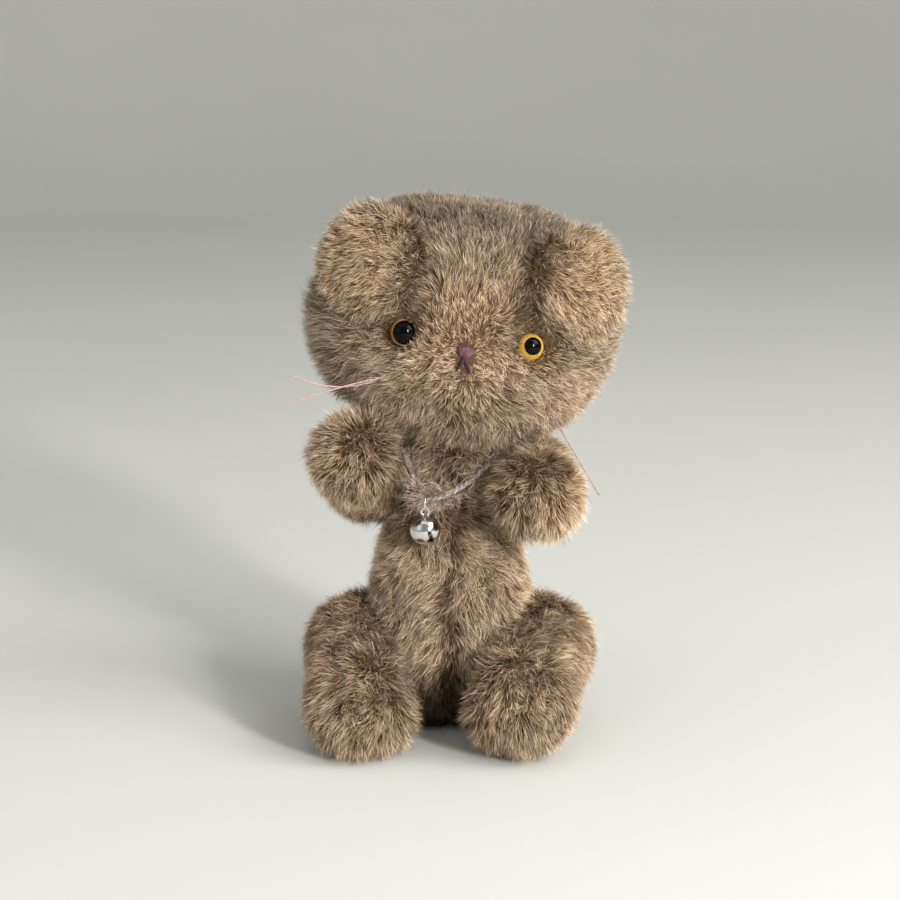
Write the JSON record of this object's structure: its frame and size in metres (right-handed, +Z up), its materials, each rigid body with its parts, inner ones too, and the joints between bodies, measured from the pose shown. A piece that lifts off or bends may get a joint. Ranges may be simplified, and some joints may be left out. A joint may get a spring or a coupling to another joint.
{
  "type": "plush cat",
  "caption": "Small jointed mohair plush cat, sitting, with folded ears, glass eyes, a stitched nose, thread whiskers and a jingle bell on a yarn collar.",
  "frame": {"origin": "centre of the torso's flat seat, on the surface that the cat sits on", "axes": "+Z up, the cat faces -Y, +X to the right of someone who looks at its face"},
  "size_m": [0.0699, 0.0676, 0.1179],
  "materials": {
    "mohair": "matte",
    "wadding": "matte",
    "fibreboard": "matte",
    "steel": "satin",
    "eye_glass": "gloss",
    "floss": "satin",
    "whisker_thread": "satin",
    "yarn": "matte",
    "plated": "polished"
  },
  "bodies": {
    "torso": {"torso_left_panel": "mohair", "torso_right_panel": "mohair", "torso_stuffing": "wadding", "torso_washers": "steel", "neck_torso_disc": "fibreboard", "shoulder_left_torso_disc": "fibreboard", "shoulder_right_torso_disc": "fibreboard", "hip_left_torso_disc": "fibreboard", "hip_right_torso_disc": "fibreboard", "tail_panel": "mohair", "tail_stuffing": "wadding", "collar_yarn": "yarn"},
    "head": {"head_left_panel": "mohair", "head_right_panel": "mohair", "head_gusset": "mohair", "head_stuffing": "wadding", "neck_outer_disc": "fibreboard", "neck_outer_washer": "steel", "neck_pin": "steel", "ear_left_front": "mohair", "ear_left_back": "mohair", "ear_right_front": "mohair", "ear_right_back": "mohair", "eye_left_glass": "eye_glass", "eye_right_glass": "eye_glass", "eye_left_shank": "steel", "eye_right_shank": "steel", "nose": "floss", "mouth_stitches": "floss", "whiskers_left": "whisker_thread", "whiskers_right": "whisker_thread"},
    "jump_ring": {"jump_ring": "plated"},
    "bell": {"bell": "plated"},
    "bell_pellet": {"bell_pellet": "steel"},
    "arm_left": {"arm_left_inner_panel": "mohair", "arm_left_outer_panel": "mohair", "arm_left_stuffing": "wadding", "shoulder_left_outer_disc": "fibreboard", "shoulder_left_outer_washer": "steel", "shoulder_left_pin": "steel"},
    "leg_left": {"leg_left_inner_panel": "mohair", "leg_left_outer_panel": "mohair", "leg_left_stuffing": "wadding", "hip_left_outer_disc": "fibreboard", "hip_left_outer_washer": "steel", "hip_left_pin": "steel"},
    "arm_right": {"arm_right_inner_panel": "mohair", "arm_right_outer_panel": "mohair", "arm_right_stuffing": "wadding", "shoulder_right_outer_disc": "fibreboard", "shoulder_right_outer_washer": "steel", "shoulder_right_pin": "steel"},
    "leg_right": {"leg_right_inner_panel": "mohair", "leg_right_outer_panel": "mohair", "leg_right_stuffing": "wadding", "hip_right_outer_disc": "fibreboard", "hip_right_outer_washer": "steel", "hip_right_pin": "steel"}
  },
  "joints": [
    {"name": "neck", "type": "hinge", "parent": "torso", "child": "head", "pos_m": [0.0008, 0, 0.0665], "axis": [0.1167, 0, 0.9932], "continuous": true},
    {"name": "shoulder_left", "type": "hinge", "parent": "torso", "child": "arm_left", "pos_m": [-0.0106, 0.0005, 0.0535], "axis": [-0.9703, 0, 0.2419], "range_deg": [-150, 12]},
    {"name": "shoulder_right", "type": "hinge", "parent": "torso", "child": "arm_right", "pos_m": [0.0106, 0.0005, 0.0535], "axis": [-0.9703, 0, -0.2419], "range_deg": [-150, 18]},
    {"name": "hip_left", "type": "hinge", "parent": "torso", "child": "leg_left", "pos_m": [-0.0124, -0.001, 0.0192], "axis": [-0.9394, 0.0246, -0.342], "range_deg": [-120, 40]},
    {"name": "hip_right", "type": "hinge", "parent": "torso", "child": "leg_right", "pos_m": [0.0124, -0.001, 0.0192], "axis": [-0.9281, 0.147, 0.342], "range_deg": [-120, 40]},
    {"name": "ring_on_yarn", "type": "hinge", "parent": "torso", "child": "jump_ring", "pos_m": [-0.0054, -0.0175, 0.0542], "axis": [1, 0, 0], "range_deg": [-60, 6]},
    {"name": "bell_on_ring", "type": "hinge", "parent": "jump_ring", "child": "bell", "pos_m": [-0.0054, -0.0175, 0.05182], "axis": [0, 1, 0], "range_deg": [-30, 30]},
    {"name": "pellet_in_bell", "type": "slide", "parent": "bell", "child": "bell_pellet", "axis": [0, 0, 1], "range_m": [0, 0.0035]}
  ]
}
